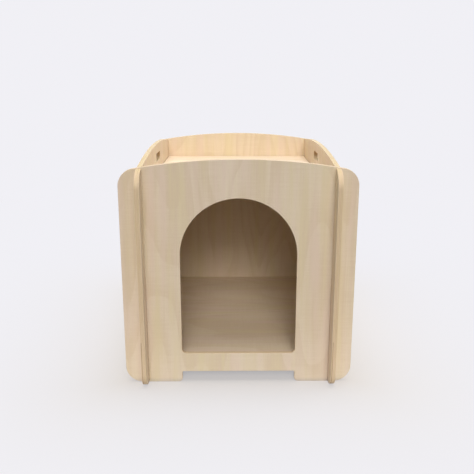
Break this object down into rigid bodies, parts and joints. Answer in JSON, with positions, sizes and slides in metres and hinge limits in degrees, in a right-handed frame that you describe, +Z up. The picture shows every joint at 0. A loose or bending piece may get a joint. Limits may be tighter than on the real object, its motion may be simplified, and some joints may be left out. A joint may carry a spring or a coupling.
{
  "type": "dog house",
  "caption": "Flat-pack plywood dog house: walls cross-lapped at the corners, arched doorway, floor on cleats and a lift-out deck sunk below an arched rim.",
  "frame": {"origin": "on the ground, at the middle of the house's plan", "axes": "+X to the right seen from the door, +Y from the door to the back, +Z up"},
  "size_m": [0.6, 0.8, 0.5979],
  "materials": {
    "wall_plywood": "matt oiled plywood, vertical grain, bare cut edges",
    "shelf_plywood": "matt oiled plywood",
    "cleat_wood": "planed softwood",
    "screw_steel": "zinc plated"
  },
  "bodies": {
    "carcass": {"left_wall": "wall_plywood", "right_wall": "wall_plywood", "floor_panel": "shelf_plywood", "floor_cleat_left": "cleat_wood", "floor_cleat_right": "cleat_wood", "deck_cleat_left": "cleat_wood", "deck_cleat_right": "cleat_wood", "floor_cleat_screws": "screw_steel", "deck_cleat_screws": "screw_steel", "floor_screws": "screw_steel"},
    "front": {"front_wall": "wall_plywood"},
    "back": {"back_wall": "wall_plywood"},
    "deck": {"deck_panel": "shelf_plywood"}
  },
  "joints": [
    {"name": "front_wall_lift", "type": "slide", "parent": "carcass", "child": "front", "axis": [0, 0, 1], "range_m": [0, 0.3]},
    {"name": "back_wall_lift", "type": "slide", "parent": "carcass", "child": "back", "axis": [0, 0, 1], "range_m": [0, 0.3]},
    {"name": "deck_lift", "type": "slide", "parent": "carcass", "child": "deck", "axis": [0, 0, 1], "range_m": [0, 0.1]}
  ]
}
